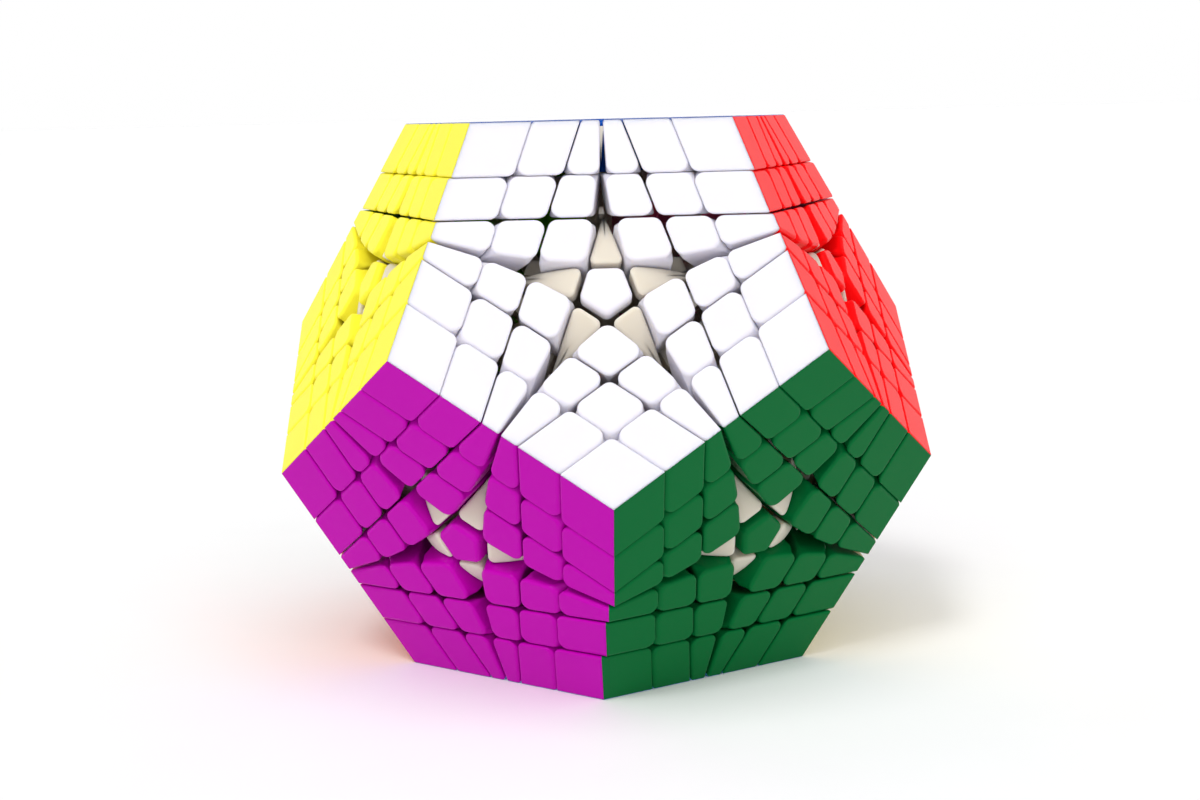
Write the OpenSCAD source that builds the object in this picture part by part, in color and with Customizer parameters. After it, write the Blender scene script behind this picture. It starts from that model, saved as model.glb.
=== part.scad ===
// Twelve-sided twisty puzzle with six turning layers on the upright axis.
// Every face is a pentagon of five kites, each kite three tiles by three,
// around a small centre cap that stands in a star-shaped well.
// Z points up, the puzzle stands on a face, and the origin is under its middle.

/* [Body] */
// Length of one edge of the twelve-sided solid
edge_len = 47; // [30:0.5:70]
// Gap between neighbouring pieces
gap = 0.3; // [0.2:0.05:0.5]
// First straight cut, as a share of the edge length in from a face's side
cut_share_1 = 0.229; // [0.2:0.001:0.25]
// Second straight cut, as a share of the edge length in from a face's side
cut_share_2 = 0.404; // [0.36:0.001:0.43]

/* [Tiles] */
// Corner radius of a tile
tile_r = 1.8; // [0.8:0.1:2.4]
// Corner radius of the tile that points into the star
point_r = 2.1; // [0.8:0.1:2.6]
// Flats that make up one rounded corner
round_steps = 3; // [2:1:6]

/* [Centre cap] */
// Distance from the middle of the cap to its sharp corners
cap_size = 5.3; // [3:0.1:5.4]
// Corner radius of the cap
cap_r = 1.5; // [0.5:0.1:2]
// Height of the cap
cap_h = 3.2; // [2:0.1:3.6]

/* [Layer turns] */
// Turn of the top layer from its aligned place
turn_t1 = 0.3; // [-36:0.1:36]
// Turn of the second layer from the top
turn_t2 = -0.4; // [-36:0.1:36]
// Turn of the third layer from the top
turn_t3 = 0.3; // [-36:0.1:36]
// Turn of the third layer from the bottom
turn_b3 = -1.1; // [-36:0.1:36]
// Turn of the second layer from the bottom
turn_b2 = -1.8; // [-36:0.1:36]
// Turn of the bottom layer
turn_b1 = -3; // [-36:0.1:36]

/* [Inner pieces] */
// Depth of the dome that the petals' tops lie on, at the middle of the face
petal_drop = 0.7; // [0.5:0.1:4]
// Radius of that dome
petal_dome = 24; // [20:1:50]
// Extra room around a petal
petal_room = 0.1; // [0:0.05:0.4]
// Room between the cap's well and the inner end of a petal
petal_start = 0.4; // [0:0.1:1]
// Depth of the slats behind the petals under the ball that touches the faces
slat_drop = 2.4; // [1:0.1:3]
// Radius at which the feet end
foot_end = 31; // [30:0.5:36]
// Size of a foot as a share of the tile above it
foot_share = 0.45; // [0.3:0.05:0.55]

/* [Core] */
// Radius of the ball in the middle
core_r = 11; // [8:0.5:13]
// Radius of a core arm
arm_r = 3; // [2:0.1:3.2]
// Distance from the centre to the end of a core arm
arm_end = 19; // [16:0.5:20]
// Outer radius of an axis piece's stem
stem_r = 2.5; // [2:0.1:2.6]
// Radius of the flange at the bottom of an axis piece
flange_r = 4.6; // [3.5:0.1:5]
// Thickness of that flange
flange_t = 2; // [1.5:0.1:3]
// Radius of a screw's thread
screw_r = 1; // [0.8:0.05:1.2]
// Radius of a screw's head
head_r = 1.7; // [1.4:0.05:1.8]
// Height of a screw's head
head_h = 1.6; // [1:0.1:2]
// Distance from the centre to the underside of a screw's head
head_at = 33; // [31:0.5:36]
// Wire radius of a spring
wire_r = 0.2; // [0.15:0.01:0.25]
// Turns in a spring
spring_turns = 5; // [4:1:8]

/* [Hidden] */

phi = (1 + sqrt(5)) / 2;
// Centre of the solid to the middle of a face
rho = edge_len * phi * phi / 2 / sqrt(3 - phi);
// Middle of a face to its sides and to its corners
side_in = edge_len / 2 / tan(36);
side_out = edge_len / 2 / sin(36);
// Cosine and sine of the angle between neighbouring face axes
cn = 1 / sqrt(5);
sn = 2 / sqrt(5);
tilt = atan(2);
cut_1 = cut_share_1 * edge_len;
cut_2 = cut_share_2 * edge_len;
half = gap / 2 / sn;
deep = cut_1 * sn - gap / 2;
margin = 2;
// The third cut is a cone about each face axis with its point at the centre
slope = 1 / phi;
cone_room = (gap / 2 + 0.03) / cos(atan(slope));
c72 = cos(72);
s72 = sin(72) * sin(72);

function unit(v) = v / norm(v);
function dir(t) = [cos(t), sin(t), 0];
// Point of the face plane by its distances a and b from the face's middle
// towards the two sides that meet at the kite's corner
function spot(a, b, z = 0) =
  (a - b * c72) / s72 * dir(126) + (b - a * c72) / s72 * dir(54) + [0, 0, z];
function root(a, b, c) = (-b + sqrt(b * b - 4 * a * c)) / 2 / a;
// Where a line a from the middle meets the other side's cone, at depth d
function cone_at(a, d = 0, e = 0) =
  let (h = cn * (rho - d), q = slope * slope, f = 1 + q)
  root(
    f * sn * sn - q / s72,
    2 * f * h * sn - 2 * e * sn + 2 * q * a * c72 / s72,
    f * h * h - 2 * e * h + e * e - q * ((rho - d) * (rho - d) + a * a / s72)
  );
// Where the two cones of a kite meet, at depth d
function cone_tip(d = 0, e = 0) =
  let (h = cn * (rho - d), q = slope * slope, f = 1 + q)
  root(
    f * sn * sn - q * 2 / (1 + c72),
    2 * f * h * sn - 2 * e * sn,
    f * h * h - 2 * e * h + e * e - q * (rho - d) * (rho - d)
  );
// Edges of the three rows of a kite, as distances from the face's middle
function near(i) = side_in - (i == 1 ? -margin : i == 2 ? cut_1 + half : cut_2 + half);
function far(i) = side_in - (i == 1 ? cut_1 - half : cut_2 - half);
function mirror_pts(p) = [for (i = [len(p) - 1:-1:0]) [-p[i][0], p[i][1], p[i][2]]];

function tile_pts(i, j) =
  i == 3 && j == 3
    ? let (a = near(3), b = cone_at(a, 0, cone_room), t = cone_tip(0, cone_room))
      [spot(a, a), spot(b, a), spot(t, t), spot(a, b)]
  : i == 3 ? mirror_pts(tile_pts(j, i))
  : j == 3
    ? let (a = near(i), b = far(i), c = near(3))
      [spot(a, c), spot(b, c), spot(b, cone_at(b, 0, cone_room)), spot(a, cone_at(a, 0, cone_room))]
  : [spot(near(i), near(j)), spot(far(i), near(j)), spot(far(i), far(j)), spot(near(i), far(j))];
function mirror_r(r) = [for (i = [3:-1:0]) r[i]];
function tile_rs(i, j) =
  i == 3 && j == 3 ? [tile_r, tile_r, point_r, tile_r]
  : i == 3 ? mirror_r(tile_rs(j, i))
  : [
      i == 1 || j == 1 ? 0 : tile_r,
      j == 1 ? 0 : tile_r,
      tile_r,
      i == 1 ? 0 : tile_r
    ];
// Direction in which the walls of a tile run inwards
function tile_dir(i, j) =
  i == 3 && j == 3 ? let (t = cone_tip(0, cone_room)) unit(-spot(t, t, rho))
  : i == 3 ? let (w = tile_dir(j, i)) [-w[0], w[1], w[2]]
  : j == 3
    ? let (a = (max(near(i), far(i)) + far(i)) / 2)
      unit(
        spot(a + deep / 2, cone_at(a + deep / 2, deep, cone_room), -deep)
          - spot(a, cone_at(a, 0, cone_room))
      )
  : unit([0, slope, -1]);

function turn2(v, t) = [v[0] * cos(t) - v[1] * sin(t), v[0] * sin(t) + v[1] * cos(t), 0];
// Outline with each corner rounded by its own radius
function rounded(p, r, n = round_steps) = [
  for (i = [0:len(p) - 1])
    let (
      q = p[i],
      u = unit(p[(i + len(p) - 1) % len(p)] - q),
      v = unit(p[(i + 1) % len(p)] - q),
      t = acos(u * v),
      side = sign(cross(-u, v)[2]),
      c = q + unit(u + v) * r[i] / sin(t / 2),
      s = q + u * r[i] / tan(t / 2) - c
    )
    for (k = [0:r[i] > 0 ? n : 0]) r[i] > 0 ? c + turn2(s, side * (180 - t) * k / n) : q
];

function middle_of(p) = [for (p = p) 1] * p / len(p);

// Straight bar along w whose section at the face plane is the outline p. It
// runs from a distance s above the middle of p to a distance d below it.
module bar(p, w, d, s = 14) {
  e = unit(cross(w, [1, 0, 0]));
  f = cross(w, e);
  multmatrix([
    [e[0], f[0], w[0], 0],
    [e[1], f[1], w[1], 0],
    [e[2], f[2], w[2], 0],
    [0, 0, 0, 1]
  ])
    translate([0, 0, middle_of(p) * w - s])
      linear_extrude(height = s + d)
        polygon([for (q = p) [q * e, q * f]]);
}

module tile(i, j) {
  bar(rounded(tile_pts(i, j), tile_rs(i, j)), tile_dir(i, j), 26);
}

// The part of the solid that belongs to one face, down to depth d
module face_slab(d) {
  k = 1 - d / rho;
  translate([0, 0, -d])
    rotate([0, 0, 54])
      linear_extrude(height = d, scale = 1 / k)
        circle(r = (side_out - 0.04) * k, $fn = 5);
}

// Places a face-frame shape: face 0 is the top, 1 to 5 the ring below it
module on_face(k) {
  if (k == 0)
    translate([0, 0, rho]) rotate([0, 0, 180]) children();
  else
    rotate([0, 0, 72 * (k - 1)])
      rotate([tilt, 0, 0])
        translate([0, 0, rho])
          children();
}

// Kite 0 is at the upper right of a face, and the rest follow to the left
module at_kite(k) {
  rotate([0, 0, -36 + 72 * k]) children();
}

// Upper and lower halves are the same shape turned half round the X axis
module lower() {
  rotate([180, 0, 0]) children();
}

module place() {
  translate([0, 0, rho]) children();
}

// One row of a side face: row 1 touches the top, and kites 0 and 1 share it
module row_tiles(row) {
  intersection() {
    union() {
      at_kite(0) for (j = [1:3]) tile(row, j);
      at_kite(1) for (j = [1:3]) tile(j, row);
    }
    face_slab(deep);
  }
}

module kite_tiles() {
  intersection() {
    for (i = [1:3], j = [1:3]) tile(i, j);
    rotate([0, 0, 36]) face_slab(deep);
  }
}

module cap() {
  p = [for (k = [0:4]) cap_size * dir(54 + 72 * k)];
  bar(rounded(p, [for (k = p) cap_r], 5), [0, 0, -1], cap_h, 0);
}

module middle_tiles() {
  for (k = [2:4]) at_kite(k) kite_tiles();
  cap();
}

module whole_face() {
  for (k = [0:4]) at_kite(k) kite_tiles();
  cap();
}

module row(k, row) {
  on_face(k) row_tiles(row);
}

module middle(k) {
  on_face(k) middle_tiles();
}

// Height of a side's cone over the line from the middle of the face to that side
function cone_mid(e) =
  let (h = cn * rho, q = slope * slope, f = 1 + q)
  root(f * sn * sn - q, 2 * f * h * sn - 2 * e * sn, f * h * h - 2 * e * h + e * e - q * rho * rho);

// Outline of the star arm that runs from the cap towards the first side
arm_room = (gap / 2 + petal_room) / cos(atan(slope));
arm_start = cone_mid(cone_room) + petal_start;
arm_pts = let (
  a = [arm_start, 9, 13, 18, 23],
  r = [for (y = a) turn2(spot(y, cone_at(y, 0, -arm_room)), -36)],
  l = [for (i = [len(r) - 1:-1:0]) [-r[i][0], r[i][1], 0]]
) concat(r, l);
arm_d = 9;

module arm_bar() {
  k = 1 - arm_d / rho;
  n = len(arm_pts);
  translate([0, 0, -arm_d])
    linear_extrude(height = arm_d, scale = 1 / k)
      polygon([
        for (q = rounded(arm_pts, [for (i = [0:n - 1]) i == 0 || i == n - 1 ? 1 : 0], 3))
          [q[0] * k, q[1] * k]
      ]);
}

// Part of a face frame between depths d1 and d2 under the first side's face
module side_band(d1, d2) {
  translate([0, 0, -rho])
    rotate([-tilt, 0, 0])
      translate([-20, -40, rho - d2])
        cube([40, 80, d2 - d1]);
}

module face_ball(drop, r) {
  translate([0, 0, -drop - r]) sphere(r = r, $fn = 200);
}

// Petal beside the cap, and the small piece behind it in the same arm
module petal() {
  intersection() {
    arm_bar();
    side_band(cut_2 * sn + gap / 2, cut_2 * sn + 20);
    face_ball(petal_drop, petal_dome);
  }
}

module slat() {
  intersection() {
    arm_bar();
    side_band(cut_1 * sn + gap / 2, cut_2 * sn - gap / 2);
    face_ball(slat_drop, rho - slat_drop);
  }
}

module arms(list) {
  for (k = list) rotate([0, 0, 72 * k]) {
    petal();
    slat();
  }
}

function core_pts(i, j) = [
  for (p = tile_pts(i, j)) [p[0], p[1], 0]
];

// Foot under a tile, straight towards the centre of the puzzle. The ones at
// the face's sides are slimmer and shorter, because they crowd together sooner.
module foot(i, j) {
  edge = i == 1 || j == 1;
  p = core_pts(i, j);
  c = middle_of(p);
  v = -(c + [0, 0, rho]);
  bar(
    [for (q = p) c + (q - c) * foot_share * (edge ? 0.7 : 1)],
    unit(v),
    norm(v) - foot_end - (edge ? 6 : 0),
    -deep + 3
  );
}

// Foot that stays level, for the second row
module level_foot(i, j, side) {
  p = core_pts(i, j);
  c = middle_of(p);
  n = sn * dir(side) + [0, 0, cn];
  v = -(c + [0, 0, rho]);
  h = v - (v * n) * n;
  bar(
    [for (q = p) c + (q - c) * foot_share],
    unit(h),
    norm(h) - foot_end + 4,
    -deep + 3
  );
}

// Feet start a gap below the undersides of the tiles
module under_tiles() {
  intersection() {
    union() children();
    translate([-60, -60, -deep - gap - 60]) cube([120, 120, 60]);
  }
}

module row_feet(row) {
  under_tiles()
    if (row == 2) {
      at_kite(0) for (j = [1:3]) level_foot(2, j, 126);
      at_kite(1) for (j = [2:3]) level_foot(j, 2, 54);
    } else {
      at_kite(0) for (j = [1:3]) foot(3, j);
      at_kite(1) for (j = [2:3]) foot(j, 3);
    }
}

// Each edge piece has one foot, so one of its two faces carries it
module middle_feet(up) {
  under_tiles() {
    for (k = [2:4]) at_kite(k) for (i = [2:3], j = [2:3]) foot(i, j);
    at_kite(4) for (j = [1:3]) foot(1, j);
    if (up) {
      at_kite(4) for (i = [2:3]) foot(i, 1);
      at_kite(3) for (j = [2:3]) foot(1, j);
    } else {
      at_kite(3) for (i = [2:3]) foot(i, 1);
      at_kite(2) for (j = [2:3]) foot(1, j);
    }
  }
}

module upper_feet(row) {
  for (k = [1:5]) on_face(k) row_feet(row);
}

module half_petals() {
  for (k = [1:5]) on_face(k) arms([1:4]);
}

module petals_1() {
  on_face(0) arms([0:4]);
}

module petals_2() {
  for (k = [1:5]) on_face(k) slat();
}

module petals_3() {
  for (k = [1:5]) on_face(k) petal();
}

// Axis parts stand on a face axis, and their lengths are from the centre
module on_axis(k) {
  on_face(k) translate([0, 0, -rho]) children();
}

module axis_piece() {
  top = rho - cap_h - 0.05;
  difference() {
    union() {
      translate([0, 0, arm_end + 0.2]) cylinder(h = top - arm_end - 0.2, r = stem_r, $fn = 64);
      translate([0, 0, arm_end + 0.2]) cylinder(h = flange_t, r = flange_r, $fn = 64);
      translate([0, 0, top - 1]) cylinder(h = 1, r = stem_r + 0.5, $fn = 64);
    }
    translate([0, 0, arm_end]) cylinder(h = flange_t + 2, r = screw_r + 0.15, $fn = 64);
    translate([0, 0, arm_end + 0.2 + flange_t])
      cylinder(h = head_at + head_h + 6 - arm_end - flange_t, r = head_r + 0.15, $fn = 64);
  }
}

module screw() {
  difference() {
    union() {
      translate([0, 0, arm_end - 7]) cylinder(h = head_at - arm_end + 7, r = screw_r, $fn = 48);
      translate([0, 0, head_at]) cylinder(h = head_h, r = head_r, $fn = 48);
    }
    translate([0, 0, head_at + head_h - 1]) cylinder(h = 2, r = 0.7, $fn = 6);
  }
}

module spring() {
  n = 7;
  z0 = arm_end + 0.2 + flange_t + wire_r + 0.05;
  rise = head_at - wire_r - 0.05 - z0;
  r = (screw_r + head_r) / 2 + 0.1;
  m = n * spring_turns;
  pts = [
    for (i = [0:m], k = [0:2])
      let (d = r + wire_r * cos(120 * k), t = 360 * i / n)
      [d * cos(t), d * sin(t), z0 + rise * i / m + wire_r * sin(120 * k)]
  ];
  polyhedron(
    pts,
    concat(
      [[0, 1, 2]],
      [for (i = [0:m - 1], k = [0:2]) [3 * i + k, 3 * i + 3 + k, 3 * i + 3 + (k + 1) % 3]],
      [for (i = [0:m - 1], k = [0:2]) [3 * i + k, 3 * i + 3 + (k + 1) % 3, 3 * i + (k + 1) % 3]],
      [[3 * m + 2, 3 * m + 1, 3 * m]]
    )
  );
}

module both() {
  children();
  lower() children();
}

// Each layer as it stands at rest
module in_t1() { place() rotate([0, 0, turn_t1]) children(); }
module in_t2() { place() rotate([0, 0, turn_t2]) children(); }
module in_t3() { place() rotate([0, 0, turn_t3]) children(); }
module in_b3() { place() rotate([0, 0, turn_b3]) lower() children(); }
module in_b2() { place() rotate([0, 0, turn_b2]) lower() children(); }
module in_b1() { place() rotate([0, 0, turn_b1]) lower() children(); }

// Sub-parts, each in its own colour

module top_blue() { color("#1f63b4") in_t1() on_face(0) whole_face(); }

module t1_white() { color("#f4f3f8") in_t1() row(1, 1); }
module t1_red() { color("#ee3b40") in_t1() row(2, 1); }
module t1_pink() { color("#f29ac2") in_t1() row(3, 1); }
module t1_lime() { color("#8ccf3f") in_t1() row(4, 1); }
module t1_yellow() { color("#fbf35a") in_t1() row(5, 1); }
module t2_white() { color("#f4f3f8") in_t2() row(1, 2); }
module t2_red() { color("#ee3b40") in_t2() row(2, 2); }
module t2_pink() { color("#f29ac2") in_t2() row(3, 2); }
module t2_lime() { color("#8ccf3f") in_t2() row(4, 2); }
module t2_yellow() { color("#fbf35a") in_t2() row(5, 2); }
module t3_white() { color("#f4f3f8") in_t3() row(1, 3); }
module t3_red() { color("#ee3b40") in_t3() row(2, 3); }
module t3_pink() { color("#f29ac2") in_t3() row(3, 3); }
module t3_lime() { color("#8ccf3f") in_t3() row(4, 3); }
module t3_yellow() { color("#fbf35a") in_t3() row(5, 3); }

module mid_white() { color("#f4f3f8") place() middle(1); }
module mid_red() { color("#ee3b40") place() middle(2); }
module mid_pink() { color("#f29ac2") place() middle(3); }
module mid_lime() { color("#8ccf3f") place() middle(4); }
module mid_yellow() { color("#fbf35a") place() middle(5); }
module mid_grey() { color("#8f959c") place() lower() middle(1); }
module mid_cream() { color("#f3e6b0") place() lower() middle(2); }
module mid_green() { color("#0e6a37") place() lower() middle(3); }
module mid_purple() { color("#ae1ca8") place() lower() middle(4); }
module mid_orange() { color("#f07a1c") place() lower() middle(5); }

module b3_grey() { color("#8f959c") in_b3() row(1, 3); }
module b3_cream() { color("#f3e6b0") in_b3() row(2, 3); }
module b3_green() { color("#0e6a37") in_b3() row(3, 3); }
module b3_purple() { color("#ae1ca8") in_b3() row(4, 3); }
module b3_orange() { color("#f07a1c") in_b3() row(5, 3); }
module b2_grey() { color("#8f959c") in_b2() row(1, 2); }
module b2_cream() { color("#f3e6b0") in_b2() row(2, 2); }
module b2_green() { color("#0e6a37") in_b2() row(3, 2); }
module b2_purple() { color("#ae1ca8") in_b2() row(4, 2); }
module b2_orange() { color("#f07a1c") in_b2() row(5, 2); }
module b1_grey() { color("#8f959c") in_b1() row(1, 1); }
module b1_cream() { color("#f3e6b0") in_b1() row(2, 1); }
module b1_green() { color("#0e6a37") in_b1() row(3, 1); }
module b1_purple() { color("#ae1ca8") in_b1() row(4, 1); }
module b1_orange() { color("#f07a1c") in_b1() row(5, 1); }
module bottom_sky() { color("#6fb9e6") in_b1() on_face(0) whole_face(); }

module petals_t1() { color("#e3ddd0") in_t1() petals_1(); }
module petals_t2() { color("#e3ddd0") in_t2() petals_2(); }
module petals_t3() { color("#e3ddd0") in_t3() petals_3(); }
module petals_mid() { color("#e3ddd0") place() both() half_petals(); }
module petals_b3() { color("#e3ddd0") in_b3() petals_3(); }
module petals_b2() { color("#e3ddd0") in_b2() petals_2(); }
module petals_b1() { color("#e3ddd0") in_b1() petals_1(); }

module feet_t2() { color("#d9d4c8") in_t2() upper_feet(2); }
module feet_t3() { color("#d9d4c8") in_t3() upper_feet(3); }

module feet_mid() {
  color("#d9d4c8") place() {
    for (k = [1:5]) on_face(k) middle_feet(true);
    lower() for (k = [1:5]) on_face(k) middle_feet(false);
  }
}

module feet_b3() { color("#d9d4c8") in_b3() upper_feet(3); }
module feet_b2() { color("#d9d4c8") in_b2() upper_feet(2); }

module core() {
  color("#cfcabd") place() difference() {
    union() {
      sphere(r = core_r, $fn = 96);
      both() for (k = [0:5]) on_axis(k)
        translate([0, 0, core_r - 3]) cylinder(h = arm_end - core_r + 3, r = arm_r, $fn = 64);
    }
    both() for (k = [0:5]) on_axis(k)
      translate([0, 0, arm_end - 7.2]) cylinder(h = 8, r = screw_r + 0.02, $fn = 48);
  }
}

module screws() { color("#b9bcc0") place() both() for (k = [0:5]) on_axis(k) screw(); }
module springs() { color("#a6abb0") place() both() for (k = [0:5]) on_axis(k) spring(); }
module axis_side() { color("#d9d4c8") place() both() for (k = [1:5]) on_axis(k) axis_piece(); }
module axis_top() { color("#d9d4c8") in_t1() on_axis(0) axis_piece(); }
module axis_bottom() { color("#d9d4c8") in_b1() on_axis(0) axis_piece(); }

top_blue();
t1_white();
t1_red();
t1_pink();
t1_lime();
t1_yellow();
t2_white();
t2_red();
t2_pink();
t2_lime();
t2_yellow();
t3_white();
t3_red();
t3_pink();
t3_lime();
t3_yellow();
mid_white();
mid_red();
mid_pink();
mid_lime();
mid_yellow();
mid_green();
mid_cream();
mid_grey();
mid_orange();
mid_purple();
b3_green();
b3_cream();
b3_grey();
b3_orange();
b3_purple();
b2_green();
b2_cream();
b2_grey();
b2_orange();
b2_purple();
b1_green();
b1_cream();
b1_grey();
b1_orange();
b1_purple();
bottom_sky();
petals_t1();
petals_t2();
petals_t3();
petals_mid();
petals_b3();
petals_b2();
petals_b1();
feet_t2();
feet_t3();
feet_mid();
feet_b3();
feet_b2();
core();
screws();
springs();
axis_side();
axis_top();
axis_bottom();
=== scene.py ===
"""Looks of a twelve-sided twisty puzzle: moulded tiles, caps and petals round the CAD frame."""

import math

import bmesh
import bpy
from mathutils import Matrix, Vector


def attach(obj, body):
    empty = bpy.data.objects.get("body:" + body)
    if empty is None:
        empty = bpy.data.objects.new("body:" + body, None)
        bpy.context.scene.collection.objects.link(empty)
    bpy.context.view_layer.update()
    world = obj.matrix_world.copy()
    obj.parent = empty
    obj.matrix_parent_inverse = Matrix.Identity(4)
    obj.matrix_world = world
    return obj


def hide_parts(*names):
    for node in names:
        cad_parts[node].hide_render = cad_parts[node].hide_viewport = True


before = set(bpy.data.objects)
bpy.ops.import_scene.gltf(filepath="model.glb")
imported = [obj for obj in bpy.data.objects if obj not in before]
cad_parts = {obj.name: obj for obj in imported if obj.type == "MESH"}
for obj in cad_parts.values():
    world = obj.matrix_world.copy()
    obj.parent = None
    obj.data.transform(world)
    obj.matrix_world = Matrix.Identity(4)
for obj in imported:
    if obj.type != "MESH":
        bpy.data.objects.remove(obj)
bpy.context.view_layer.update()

MM = 0.001

# ---- sizes of the solid, in millimetres ----

EDGE = 47.0
PHI = (1 + math.sqrt(5)) / 2
# From the solid's middle to a face, and from a face's middle to its sides
RHO = EDGE * PHI * PHI / 2 / math.sqrt(3 - PHI)
SIDE_IN = EDGE / 2 / math.tan(math.radians(36))
# Angle between the axes of neighbouring faces, with its cosine and sine
TILT = math.atan(2)
CN, SN = 1 / math.sqrt(5), 2 / math.sqrt(5)
# Cosine and squared sine of the angle between the axes of a kite's slanted coordinates
C72 = math.cos(math.radians(72))
S72 = math.sin(math.radians(72)) ** 2

# ---- cuts between the layers ----

# Distances of the two cuts from a side, measured along the face
CUT_1, CUT_2 = 0.229 * EDGE, 0.404 * EDGE
# Gap between the frame's parts, and between the tiles seen here
CAD_GAP, GAP = 0.3, 0.06
HALF = GAP / 2 / SN
# Cone round the third layer: its rise over its run, the cosine of that slope, and room beside it
SLOPE = 1 / PHI
LEAN = math.cos(math.atan(SLOPE))
CONE_ROOM = 0.15 / LEAN
# Turn of each layer about the upright axis, in degrees
TURNS = {"t1": 0.3, "t2": -0.4, "t3": 0.3, "b3": -1.1, "b2": -1.8, "b1": -3.0}

# ---- rounded edges ----

# Flat ring inside a rounded edge and straight wall below it, which keep the shading even
EDGE_FLAT, EDGE_WALL = 0.12, 0.15
# Length of the straight kept beside each rounded corner
CORNER_STRAIGHT = 0.18
# Steps round a corner in plan, and down a rounded edge
TILE_CORNER_STEPS, TILE_LIP_STEPS = 6, 4
CAP_CORNER_STEPS, CAP_LIP_STEPS = 7, 6
PETAL_CORNER_STEPS, PETAL_LIP_STEPS = 5, 7
# Angle in degrees from which an edge is shaded as sharp
SHARP_ANGLE = 50

# ---- tiles and caps ----

# Depth of a tile's walls, and how far a tile is drawn past a side before it is mitred
DEEP = CUT_1 * SN - CAD_GAP / 2
MARGIN = 2.0
# Radius of a tile's corners, and of the one that points at the cap
TILE_R, POINT_R = 1.8, 2.1
# Width and depth of a tile's rounded edge
TILE_LIP = 0.6
# Depth down a tile's wall, and the share of the corners' radius that is left there
ROOT_SHARES = ((1.2, 0.9), (1.9, 0.6), (2.6, 0.3))
# At an edge of the solid: how far a tile passes the mitre, how much the ridge is flattened,
# and how far from the ridge a line is drawn for even shading
MITRE_PAST, RIDGE_CUT, RIDGE_LINE = 0.032, 0.12, 0.3
# Cap: from its middle to its corners, their radius, and the depth of its foot
CAP_SIZE, CAP_R, CAP_H = 5.0, 1.5, 3.2
# Width and depth of its rounded edge, and how far its top lies under the face
CAP_LIP, CAP_DROP = 0.95, 0.2

# ---- petals and slats in the arms of the star ----

# Drop of each curved plate under the face, and radius of the petals' ball
PETAL_DROP, SLAT_DROP, PETAL_DOME = 0.45, 3.4, 21.0
# Room beside a plate, distance of a petal from the cap's seat, and radius of its corners there
PETAL_ROOM, PETAL_START, PETAL_CORNER = 0.05, 0.4, 1.25
# Width and depth of the rounded edge
PETAL_CROWN, SLAT_CROWN = (0.8, 0.45), (0.22, 0.3)
# Flat ring inside that edge, depth of a plate's foot, and where an arm ends at the latest
PLATE_FLAT, PLATE_DEEP, ARM_END = 0.08, 3.0, 21.5
# Steps along a plate's side and across its outer end, and rings between its middle and its edge
SIDE_STEPS, END_STEPS = 8, 6
DOME_SHARES = (0.3, 0.6, 0.85)
# Search for the reach of a plate: where it stops looking, and how often it halves the span
REACH_LIMIT, HALVINGS = 23.0, 30

# ---- places on a face ----


def direction(degrees):
    """Unit vector in the face plane."""
    a = math.radians(degrees)
    return Vector((math.cos(a), math.sin(a), 0))


def spot(a, b, z=0.0):
    """Point of a kite by its distances from the face's middle towards the two sides."""
    return (
        (a - b * C72) / S72 * direction(126)
        + (b - a * C72) / S72 * direction(54)
        + Vector((0, 0, z))
    )


def root(a, b, c):
    """Larger root of a quadratic."""
    return (-b + math.sqrt(b * b - 4 * a * c)) / 2 / a


def cone_at(a, d=0.0, e=0.0):
    """Where the cone, shifted by e along its axis, crosses the kite's line a at depth d."""
    h, q = CN * (RHO - d), SLOPE**2
    f = 1 + q
    return root(
        f * SN * SN - q / S72,
        2 * f * h * SN - 2 * e * SN + 2 * q * a * C72 / S72,
        f * h * h - 2 * e * h + e * e - q * ((RHO - d) ** 2 + a * a / S72),
    )


def cone_tip(d=0.0, e=0.0):
    """Where it crosses the kite's diagonal."""
    h, q = CN * (RHO - d), SLOPE**2
    f = 1 + q
    return root(
        f * SN * SN - q * 2 / (1 + C72),
        2 * f * h * SN - 2 * e * SN,
        f * h * h - 2 * e * h + e * e - q * (RHO - d) ** 2,
    )


def cone_mid(e):
    """Where it crosses the line from the face's middle to the middle of a side."""
    h, q = CN * RHO, SLOPE**2
    f = 1 + q
    return root(
        f * SN * SN - q, 2 * f * h * SN - 2 * e * SN, f * h * h - 2 * e * h + e * e - q * RHO**2
    )


def near(i):
    """Distance from the face's middle to the edge of row i that is nearer the side."""
    return SIDE_IN - (-MARGIN, CUT_1 + HALF, CUT_2 + HALF)[i - 1]


def far(i):
    """The same for the edge farther from the side, in rows 1 and 2."""
    return SIDE_IN - (CUT_1 if i == 1 else CUT_2) + HALF


def mirrored(points):
    """Outline mirrored across the kite's diagonal, in the same sense of turning."""
    return [Vector((-p.x, p.y, p.z)) for p in reversed(points)]


def tile_points(i, j):
    """Four corners of a tile at the face plane, in its kite's frame."""
    if i == 3 and j == 3:
        a, t = near(3), cone_tip(0, CONE_ROOM)
        b = cone_at(a, 0, CONE_ROOM)
        return [spot(a, a), spot(b, a), spot(t, t), spot(a, b)]
    if i == 3:
        return mirrored(tile_points(j, i))
    a, b = near(i), far(i)
    if j == 3:
        c, a_end, b_end = near(3), cone_at(a, 0, CONE_ROOM), cone_at(b, 0, CONE_ROOM)
        return [spot(a, c), spot(b, c), spot(b, b_end), spot(a, a_end)]
    return [spot(a, near(j)), spot(b, near(j)), spot(b, far(j)), spot(a, far(j))]


def tile_radii(i, j):
    """Radii of those corners, none where a corner lies on an edge of the solid."""
    if i == 3 and j == 3:
        return [TILE_R, TILE_R, POINT_R, TILE_R]
    if i == 3:
        return tile_radii(j, i)[::-1]
    return [
        0 if i == 1 or j == 1 else TILE_R,
        0 if j == 1 else TILE_R,
        TILE_R,
        0 if i == 1 else TILE_R,
    ]


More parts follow.
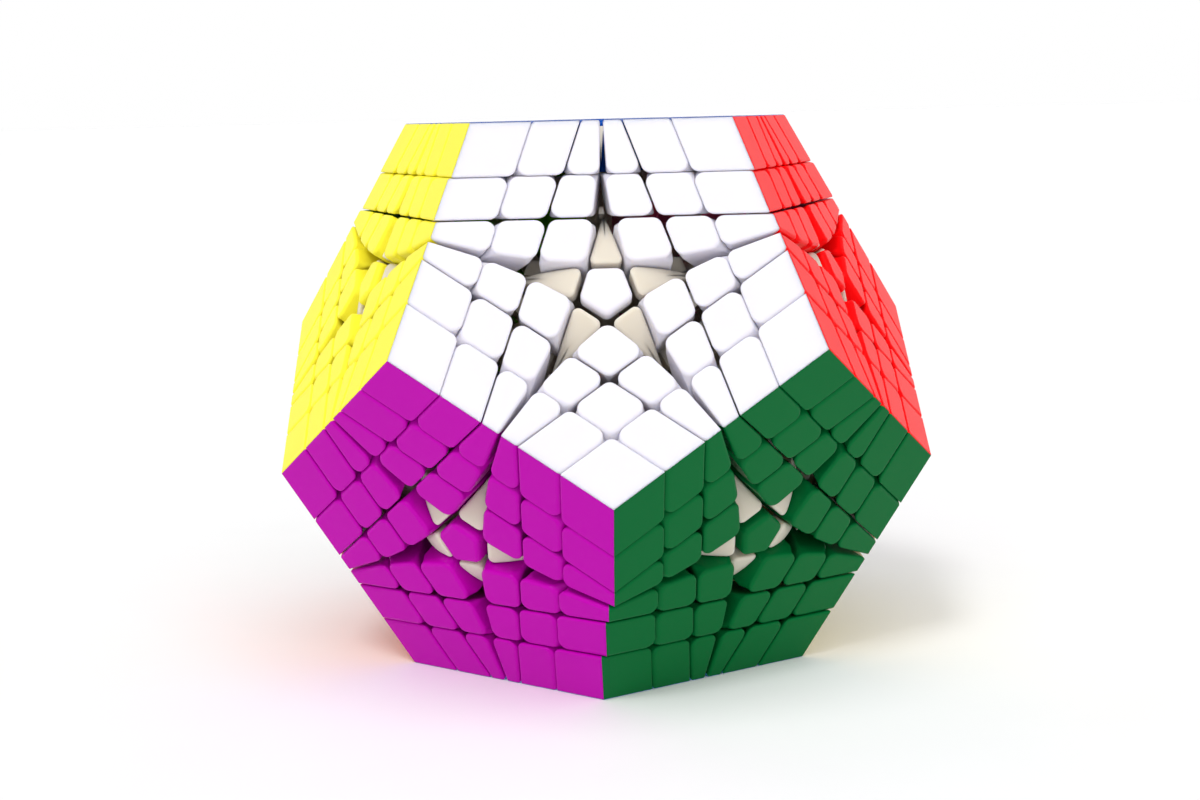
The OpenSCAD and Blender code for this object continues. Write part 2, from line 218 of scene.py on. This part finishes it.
def tile_way(i, j):
    """Direction in which the walls of a tile run inwards."""
    if i == 3 and j == 3:
        t = cone_tip(0, CONE_ROOM)
        return -spot(t, t, RHO).normalized()
    if i == 3:
        w = tile_way(j, i)
        return Vector((-w.x, w.y, w.z))
    if j == 3:
        a = (max(near(i), far(i)) + far(i)) / 2
        low_a = a + DEEP / 2
        low = spot(low_a, cone_at(low_a, DEEP, CONE_ROOM), -DEEP)
        return (low - spot(a, cone_at(a, 0, CONE_ROOM))).normalized()
    return Vector((0, SLOPE, -1)).normalized()


# ---- frames ----

LIFT = Matrix.Translation((0, 0, RHO))


def spin(degrees, axis):
    return Matrix.Rotation(math.radians(degrees), 4, axis)


def on_face(k):
    """Frame of a face of the upper half: 0 is the top, 1 to 5 are the slanted ones."""
    if k == 0:
        return LIFT @ spin(180, "Z")
    return spin(72 * (k - 1), "Z") @ Matrix.Rotation(TILT, 4, "X") @ LIFT


def at_kite(k):
    """Frame of one of the five kites between a face's middle and its corners."""
    return spin(-36 + 72 * k, "Z")


def half_frame(lower, turn=0.0):
    """Frame of the upper or lower half, standing on the floor, with a turn in degrees."""
    return LIFT @ spin(turn, "Z") @ (spin(180, "X") if lower else Matrix.Identity(4))


# ---- mesh building ----


class Shape:
    """Collects the vertices and faces of one piece."""

    def __init__(self):
        self.verts, self.faces = [], []

    def join(self, verts, faces, place):
        base = len(self.verts)
        self.verts += [place @ v * MM for v in verts]
        self.faces += [tuple(base + n for n in f) for f in faces]

    def rings(self, rings, place, top=None, scale=MM):
        """Closed skin over rings of equally many points, from the top down."""
        n, base = len(rings[0]), len(self.verts)
        for ring in rings:
            self.verts += [place @ p * scale for p in ring]
        for r in range(len(rings) - 1):
            for i in range(n):
                a, b = base + r * n + i, base + r * n + (i + 1) % n
                self.faces.append((a, a + n, b + n, b))
        if top is None:
            self.faces.append(tuple(base + i for i in range(n)))
        else:
            self.verts.append(place @ top * scale)
            c = len(self.verts) - 1
            self.faces += [(base + i, base + (i + 1) % n, c) for i in range(n)]
        last = base + (len(rings) - 1) * n
        self.faces.append(tuple(last + i for i in reversed(range(n))))

    def to_object(self, name):
        mesh = bpy.data.meshes.new(name)
        mesh.from_pydata([v[:] for v in self.verts], [], self.faces)
        mesh.validate()
        mesh.shade_smooth()
        mesh.set_sharp_from_angle(angle=math.radians(SHARP_ANGLE))
        o = bpy.data.objects.new(name, mesh)
        bpy.context.scene.collection.objects.link(o)
        return o


def cross2(a, b):
    return a.x * b.y - a.y * b.x


def inset(points, amount):
    """Moves each edge of an anticlockwise convex outline inwards."""
    n = len(points)
    lines = []
    for i in range(n):
        p, q = points[i], points[(i + 1) % n]
        d = (q - p).normalized()
        lines.append((p + Vector((-d.y, d.x, 0)) * amount, d))
    out = []
    for i in range(n):
        (p, d), (q, e) = lines[i - 1], lines[i]
        s = cross2(d, e)
        if abs(s) < 0.01:
            out.append(q.copy())
        else:
            out.append(p + d * (cross2(q - p, e) / s))
    return out


def anticlockwise(points):
    n = len(points)
    area = sum(cross2(points[i], points[(i + 1) % n]) for i in range(n))
    return area > 0


def rounded(points, radii, steps):
    """Outline with each corner rounded, and a point on the straight just beside each arc."""
    out, n = [], len(points)
    for i in range(n):
        q, r = points[i], radii[i]
        if r <= 0:
            out.append(q.copy())
            continue
        u = (points[i - 1] - q).normalized()
        v = (points[(i + 1) % n] - q).normalized()
        t = u.angle(v)
        c = q + (u + v).normalized() * (r / math.sin(t / 2))
        cut = r / math.tan(t / 2)
        start = q + u * cut - c
        sign = 1 if cross2(-u, v) > 0 else -1
        out.append(q + u * (cut + CORNER_STRAIGHT))
        for k in range(steps + 1):
            a = sign * (math.pi - t) * k / steps
            x = start.x * math.cos(a) - start.y * math.sin(a)
            y = start.x * math.sin(a) + start.y * math.cos(a)
            out.append(c + Vector((x, y, 0)))
        out.append(q + v * (cut + CORNER_STRAIGHT))
    return out


def lip(width, depth, steps):
    """Insets and depths down a rounded edge, from the flat top to the wall."""
    turns = [math.pi / 2 * k / steps for k in range(steps + 1)]
    return [(width * (1 - math.sin(a)), depth * (1 - math.cos(a))) for a in turns]


def cut_off(bm, point, normal, fill=True):
    """Removes what lies beyond a plane and closes the cut, or only draws its line without fill."""
    geom = bm.verts[:] + bm.edges[:] + bm.faces[:]
    cut = bmesh.ops.bisect_plane(
        bm, geom=geom, dist=1e-6, plane_co=point, plane_no=normal, clear_outer=fill
    )["geom_cut"]
    if fill:
        edges = [e for e in cut if isinstance(e, bmesh.types.BMEdge)]
        bmesh.ops.contextual_create(bm, geom=edges)


def add_tile(shape, i, j, place):
    """A tile: its walls run along one direction, and its sides on the solid's edges are mitred."""
    corners, radii = tile_points(i, j), tile_radii(i, j)
    if not anticlockwise(corners):
        corners, radii = corners[::-1], radii[::-1]
    way = tile_way(i, j)

    def ring(d, r, share=1.0):
        outline = rounded(corners, [share * radius for radius in radii], TILE_CORNER_STEPS)
        shift = way * (d / -way.z)
        pts = inset(outline, r)
        return [Vector((p.x + shift.x, p.y + shift.y, -d)) for p in pts]

    rings = [ring(0, TILE_LIP + EDGE_FLAT)]
    rings += [ring(d, r) for r, d in lip(TILE_LIP, TILE_LIP, TILE_LIP_STEPS)]
    rings.append(ring(TILE_LIP + EDGE_WALL, 0))
    rings += [ring(d, 0, share) for d, share in ROOT_SHARES]
    rings.append(ring(DEEP, 0, ROOT_SHARES[-1][1]))
    tile = Shape()
    tile.rings(rings, Matrix.Identity(4), scale=1)
    sides = [a for a, at_side in ((126, i == 1), (54, j == 1)) if at_side]
    if not sides:
        shape.join(tile.verts, tile.faces, place)
        return
    bm = bmesh.new()
    for v in tile.verts:
        bm.verts.new(v)
    bm.verts.ensure_lookup_table()
    for f in tile.faces:
        bm.faces.new([bm.verts[n] for n in f])
    centre = Vector((0, 0, -RHO))
    for a in sides:
        out = direction(a)
        edge = out * SIDE_IN
        mitre = (out * RHO - Vector((0, 0, SIDE_IN))).normalized()
        ridge = (out * SIDE_IN + Vector((0, 0, RHO))).normalized()
        cut_off(bm, centre + mitre * MITRE_PAST, mitre)
        cut_off(bm, edge - ridge * RIDGE_CUT, ridge)
        cut_off(bm, edge - mitre * RIDGE_LINE, mitre, fill=False)
    bm.verts.index_update()
    bmesh.ops.recalc_face_normals(bm, faces=bm.faces[:])
    faces = [tuple(v.index for v in f.verts) for f in bm.faces]
    shape.join([v.co.copy() for v in bm.verts], faces, place)
    bm.free()


def add_cap(shape, place):
    """The small pentagon in the middle of a face."""
    corners = [CAP_SIZE * direction(54 + 72 * k) for k in range(5)]
    outline = rounded(corners, [CAP_R] * 5, CAP_CORNER_STEPS)
    if not anticlockwise(outline):
        outline.reverse()

    def ring(d, r):
        return [Vector((p.x, p.y, -d)) for p in inset(outline, r)]

    rings = [ring(CAP_DROP, CAP_LIP + EDGE_FLAT)]
    rings += [ring(CAP_DROP + d, r) for r, d in lip(CAP_LIP, CAP_LIP, CAP_LIP_STEPS)]
    rings.append(ring(CAP_DROP + CAP_LIP + EDGE_WALL, 0))
    rings.append(ring(CAP_H, 0))
    shape.rings(rings, place)


ARM_ROOM = PETAL_ROOM / LEAN
ARM_START = cone_mid((CAD_GAP / 2 + GAP / 2) / LEAN) + PETAL_START


def arm_half_width(y):
    """Half width of a star arm at distance y from the face's middle, on the face plane."""
    p = spot(y, cone_at(y, 0, -ARM_ROOM))
    a = math.radians(-36)
    return p.x * math.cos(a) - p.y * math.sin(a)


def on_ball(p, centre, radius):
    """Drops a point of the face plane towards the solid's middle, onto a ball on the axis."""
    ray = Vector((p.x, p.y, RHO))
    lift = RHO - centre
    a, b, c = ray.dot(ray), -ray.z * lift, lift * lift - radius * radius
    t = (-b + math.sqrt(b * b - a * c)) / a
    return ray * t - Vector((0, 0, RHO))


def band_reach(x, centre, radius, depth):
    """Distance y at which a ball of this radius passes the depth under the first side's face."""
    low, high = 0.0, REACH_LIMIT
    for _ in range(HALVINGS):
        y = (low + high) / 2
        p = on_ball(Vector((x, y, 0)), centre, radius)
        if SN * p.y + CN * (p.z + RHO) < RHO - depth:
            low = y
        else:
            high = y
    return (low + high) / 2


def add_petal(shape, place, centre, ball, depth_near, depth_far, crown, corner):
    """Curved plate in a star arm, between two depths under the neighbouring face."""

    def outline(radius):
        y0 = ARM_START if depth_far is None else band_reach(0, centre, radius, depth_far)

        def reach(x):
            return min(band_reach(x, centre, radius, depth_near), ARM_END)

        y1 = reach(arm_half_width(reach(0)))
        right = []
        for k in range(SIDE_STEPS + 1):
            y = y0 + (y1 - y0) * k / SIDE_STEPS
            right.append(Vector((arm_half_width(y), y, 0)))
        end = []
        for k in range(1, END_STEPS):
            x = right[-1].x * (1 - 2 * k / END_STEPS)
            end.append(Vector((x, reach(x), 0)))
        left = [Vector((-p.x, p.y, 0)) for p in reversed(right)]
        return right + end + left

    def ring(radius, r):
        pts = outline(radius)
        if corner:
            radii = [0.0] * len(pts)
            radii[0] = radii[-1] = corner
            pts = rounded(pts, radii, PETAL_CORNER_STEPS)
        return inset(pts, r)

    width, drop = crown
    edge = lip(width, drop, PETAL_LIP_STEPS)
    lofts = [(ball, width + PLATE_FLAT)] + [(ball - d, r) for r, d in edge]
    lofts += [(ball - drop - EDGE_WALL, 0), (ball - PLATE_DEEP, 0)]
    first = ring(*lofts[0])
    middle = sum(first, Vector()) / len(first)
    rings = []
    for share in DOME_SHARES:
        rings.append([on_ball(middle + (p - middle) * share, centre, ball) for p in first])
    for radius, r in lofts:
        rings.append([on_ball(p, centre, radius) for p in ring(radius, r)])
    shape.rings(rings, place, top=on_ball(middle, centre, ball))


def add_inner_petal(shape, place):
    """Petal beside the cap, on a ball of its own."""
    centre = PETAL_DROP + PETAL_DOME
    side = CUT_2 * SN + CAD_GAP / 2
    add_petal(shape, place, centre, PETAL_DOME, side, None, PETAL_CROWN, PETAL_CORNER)


def add_slat(shape, place):
    """Slat beyond the petal, lower down, on a ball about the solid's middle."""
    near_side, far_side = CUT_1 * SN + CAD_GAP / 2, CUT_2 * SN - CAD_GAP / 2
    add_petal(shape, place, RHO, RHO - SLAT_DROP, near_side, far_side, SLAT_CROWN, 0)


# ---- materials ----

# Size and detail of the broad mottling, and of the fine skin
BROAD_NOISE, FINE_NOISE = (45, 3), (9000, 2)
# How much farther the mottling goes to the dark side than to the light one
DARK_SHARE = 2.2
ROUGHNESS_RANGE = 0.02
SKIN_STRENGTH, SKIN_HEIGHT = 0.012, 0.00002
SCATTER_COLOUR, SCATTER_DEPTH = (1.0, 0.9, 0.75), 0.002


def srgb(r, g, b):
    """Linear colour from eight-bit values."""
    def lin(c):
        c /= 255
        return c / 12.92 if c <= 0.04045 else ((c + 0.055) / 1.055) ** 2.4

    return (lin(r), lin(g), lin(b), 1.0)


def plastic(name, colour, roughness=0.26, grain=0.008, specular=0.06, scatter=0.0):
    """Moulded plastic: faint mottling of the colour, sheen that varies, and a fine moulded skin."""
    m = bpy.data.materials.new(name)
    m.use_nodes = True
    nodes, links = m.node_tree.nodes, m.node_tree.links
    shader = nodes["Principled BSDF"]
    coords = nodes.new("ShaderNodeTexCoord")

    def noise(scale, detail):
        n = nodes.new("ShaderNodeTexNoise")
        n.inputs["Scale"].default_value = scale
        n.inputs["Detail"].default_value = detail
        links.new(coords.outputs["Object"], n.inputs["Vector"])
        return n

    broad, fine = noise(*BROAD_NOISE), noise(*FINE_NOISE)
    ramp = nodes.new("ShaderNodeValToRGB")
    ramp.color_ramp.elements[0].position = 0.3
    ramp.color_ramp.elements[1].position = 0.7
    dark = tuple(c * (1 - DARK_SHARE * grain) for c in colour[:3]) + (1,)
    light = tuple(min(1.0, c * (1 + grain)) for c in colour[:3]) + (1,)
    ramp.color_ramp.elements[0].color = dark
    ramp.color_ramp.elements[1].color = light
    links.new(broad.outputs["Fac"], ramp.inputs["Fac"])
    links.new(ramp.outputs["Color"], shader.inputs["Base Color"])
    spread = nodes.new("ShaderNodeMapRange")
    spread.inputs["To Min"].default_value = roughness - ROUGHNESS_RANGE
    spread.inputs["To Max"].default_value = roughness + ROUGHNESS_RANGE
    links.new(fine.outputs["Fac"], spread.inputs["Value"])
    links.new(spread.outputs["Result"], shader.inputs["Roughness"])
    bump = nodes.new("ShaderNodeBump")
    bump.inputs["Strength"].default_value = SKIN_STRENGTH
    bump.inputs["Distance"].default_value = SKIN_HEIGHT
    links.new(fine.outputs["Fac"], bump.inputs["Height"])
    links.new(bump.outputs["Normal"], shader.inputs["Normal"])
    shader.inputs["IOR"].default_value = 1.5
    shader.inputs["Specular IOR Level"].default_value = specular
    if scatter:
        shader.inputs["Subsurface Weight"].default_value = scatter
        shader.inputs["Subsurface Radius"].default_value = SCATTER_COLOUR
        shader.inputs["Subsurface Scale"].default_value = SCATTER_DEPTH
    return m


COLOURS = {
    "white": srgb(228, 225, 234),
    "red": srgb(254, 14, 18),
    "pink": srgb(240, 128, 176),
    "lime": srgb(116, 198, 40),
    "yellow": srgb(250, 240, 60),
    "green": srgb(2, 104, 50),
    "cream": srgb(240, 226, 168),
    "grey": srgb(128, 134, 142),
    "orange": srgb(240, 104, 14),
    "purple": srgb(186, 4, 170),
    "sky": srgb(92, 172, 228),
    "blue": srgb(14, 78, 172),
}
GLOSS, USUAL_GLOSS = {"red": 0.03, "yellow": 0.03}, 0.06
SCATTER = {"white": 0.8}
looks = {}
for c, rgb in COLOURS.items():
    gloss = GLOSS.get(c, USUAL_GLOSS)
    looks[c] = plastic("plastic_" + c, rgb, specular=gloss, scatter=SCATTER.get(c, 0.0))
ivory = plastic("plastic_ivory", srgb(214, 206, 191), roughness=0.32, scatter=0.8)


def metal(name, colour, roughness):
    m = plastic(name, colour, roughness)
    m.node_tree.nodes["Principled BSDF"].inputs["Metallic"].default_value = 1.0
    return m


screw_steel = metal("steel_screw", srgb(190, 192, 196), 0.3)
spring_steel = metal("steel_spring", srgb(170, 174, 180), 0.35)

# ---- pieces ----

# Colours of the slanted faces of each half, in the order of on_face
UPPER = ["white", "red", "pink", "lime", "yellow"]
LOWER = ["grey", "cream", "green", "purple", "orange"]


def finish_piece(shape, name, body, node, look):
    o = shape.to_object(name)
    o.data.materials.append(look)
    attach(o, body)
    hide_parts(node)


def add_kite(shape, place):
    for i in (1, 2, 3):
        for j in (1, 2, 3):
            add_tile(shape, i, j, place)


def row_shape(place, row):
    """The tiles of a slanted face that turn with one layer."""
    shape = Shape()
    for j in (1, 2, 3):
        add_tile(shape, row, j, place @ at_kite(0))
        add_tile(shape, j, row, place @ at_kite(1))
    return shape


for lower, names, prefix, half_name in ((False, UPPER, "t", "top"), (True, LOWER, "b", "bottom")):
    base = half_frame(lower)
    layer = {row: half_frame(lower, TURNS[f"{prefix}{row}"]) for row in (1, 2, 3)}
    for k, colour in enumerate(names, start=1):
        place = base @ on_face(k)
        for row in (1, 2, 3):
            node = f"{prefix}{row}_{colour}"
            shape = row_shape(layer[row] @ on_face(k), row)
            body = f"{half_name}_layer_{row}"
            finish_piece(shape, "tiles_" + node, body, node, looks[colour])
        shape = Shape()
        for kite in (2, 3, 4):
            add_kite(shape, place @ at_kite(kite))
        add_cap(shape, place)
        node = "mid_" + colour
        finish_piece(shape, "tiles_" + node, "middle", node, looks[colour])
    shape = Shape()
    place = layer[1] @ on_face(0)
    for kite in range(5):
        add_kite(shape, place @ at_kite(kite))
    add_cap(shape, place)
    colour = "sky" if lower else "blue"
    node = f"{half_name}_{colour}"
    body = f"{half_name}_layer_1"
    finish_piece(shape, "tiles_" + node, body, node, looks[colour])

    parts = [Shape(), Shape(), Shape()]
    for arm in range(5):
        turn = layer[1] @ on_face(0) @ spin(72 * arm, "Z")
        add_inner_petal(parts[0], turn)
        add_slat(parts[0], turn)
    for k in range(1, 6):
        add_slat(parts[1], layer[2] @ on_face(k))
        add_inner_petal(parts[2], layer[3] @ on_face(k))
    for row, shape in enumerate(parts, start=1):
        node, body = f"petals_{prefix}{row}", f"{half_name}_layer_{row}"
        finish_piece(shape, "ivory_" + node, body, node, ivory)

shape = Shape()
for lower in (False, True):
    for k in range(1, 6):
        for arm in range(1, 5):
            turn = half_frame(lower) @ on_face(k) @ spin(72 * arm, "Z")
            add_inner_petal(shape, turn)
            add_slat(shape, turn)
finish_piece(shape, "ivory_petals_mid", "middle", "petals_mid", ivory)

# What stays in view of the frame itself
for name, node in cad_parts.items():
    if node.hide_render:
        continue
    look = {"screws": screw_steel, "springs": spring_steel}.get(name, ivory)
    node.data.materials.clear()
    node.data.materials.append(look)

# ---- floor, light and camera ----

FLOOR_SIZE, FLOOR_COLOUR = 400, (0.96, 0.96, 0.96, 1)
# Height on the unit sphere at which the sky is still white, and at which it is dim
SKY_WHITE, SKY_DIM = 0.12, 0.5
SKY_DIM_COLOUR = (0.3, 0.3, 0.31, 1)
CAMERA_PLACE = (-0.007599, -0.395429, 0.105424)
RIGHT = Vector((0.999483, -0.020818, -0.024521))
UP = Vector((0.027189, 0.139424, 0.989859))
AHEAD = Vector((0.017188, 0.990014, -0.139918))

bpy.ops.mesh.primitive_plane_add(size=FLOOR_SIZE, location=(0, 0, 0))
floor = bpy.context.object
floor.name = "floor"
floor.data.materials.append(plastic("floor_paper", FLOOR_COLOUR, 0.7, 0.004))


def studio_sky():
    """Soft dome, white near the horizon and dimmer overhead, where the lamp does the work."""
    world = bpy.data.worlds.new("studio")
    world.use_nodes = True
    nodes, links = world.node_tree.nodes, world.node_tree.links
    coords = nodes.new("ShaderNodeTexCoord")
    split = nodes.new("ShaderNodeSeparateXYZ")
    ramp = nodes.new("ShaderNodeValToRGB")
    ramp.color_ramp.elements[0].position = SKY_WHITE
    ramp.color_ramp.elements[0].color = (1, 1, 1, 1)
    ramp.color_ramp.elements[1].position = SKY_DIM
    ramp.color_ramp.elements[1].color = SKY_DIM_COLOUR
    links.new(coords.outputs["Generated"], split.inputs["Vector"])
    links.new(split.outputs["Z"], ramp.inputs["Fac"])
    links.new(ramp.outputs["Color"], nodes["Background"].inputs["Color"])
    nodes["Background"].inputs["Strength"].default_value = 1.0
    return world


bpy.context.scene.world = studio_sky()


def lamp(name, strength, degrees, way):
    """Far lamp that seems this many degrees wide and shines along a direction."""
    data = bpy.data.lights.new(name, "SUN")
    data.energy = strength
    data.angle = math.radians(degrees)
    o = bpy.data.objects.new(name, data)
    o.rotation_mode = "QUATERNION"
    o.rotation_quaternion = Vector(way).to_track_quat("-Z", "Y")
    bpy.context.scene.collection.objects.link(o)


lamp("soft_lamp", 1.8, 70, (0.0, 0.5, -0.8))
lamp("small_lamp", 0.9, 12, (0.25, 0.6, -0.8))

camera_data = bpy.data.cameras.new("camera")
camera_data.lens = 60.4605
camera_data.sensor_width = 36
camera_data.clip_start = 0.01
camera = bpy.data.objects.new("camera", camera_data)
bpy.context.scene.collection.objects.link(camera)
turn = Matrix((RIGHT, UP, -AHEAD)).transposed().to_4x4()
camera.matrix_world = Matrix.Translation(CAMERA_PLACE) @ turn
bpy.context.scene.camera = camera
bpy.context.scene.view_settings.view_transform = "Standard"
